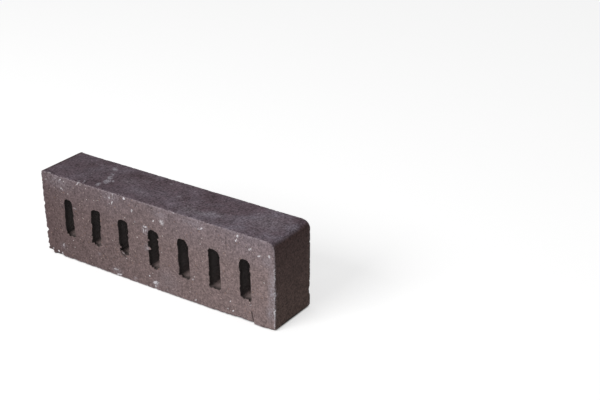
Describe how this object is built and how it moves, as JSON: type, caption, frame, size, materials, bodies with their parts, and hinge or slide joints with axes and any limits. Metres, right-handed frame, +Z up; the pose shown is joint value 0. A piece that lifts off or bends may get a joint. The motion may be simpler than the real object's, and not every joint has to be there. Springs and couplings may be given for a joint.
{
  "type": "clay brick",
  "caption": "Long slim fired clay brick, wire-cut, with a row of rounded slots through its bed faces, for coursed walls and facings.",
  "frame": {"origin": "on the floor under the middle of the brick, which lies on a long narrow face", "axes": "+X along the brick, towards the end with the rounded upper corner; +Y through the slots, away from the viewer of the picture; +Z up"},
  "size_m": [0.29, 0.059, 0.092],
  "materials": {
    "fired_clay": "matte, fine-grained, purple-brown"
  },
  "bodies": {
    "root": {"brick": "fired_clay"}
  },
  "joints": []
}
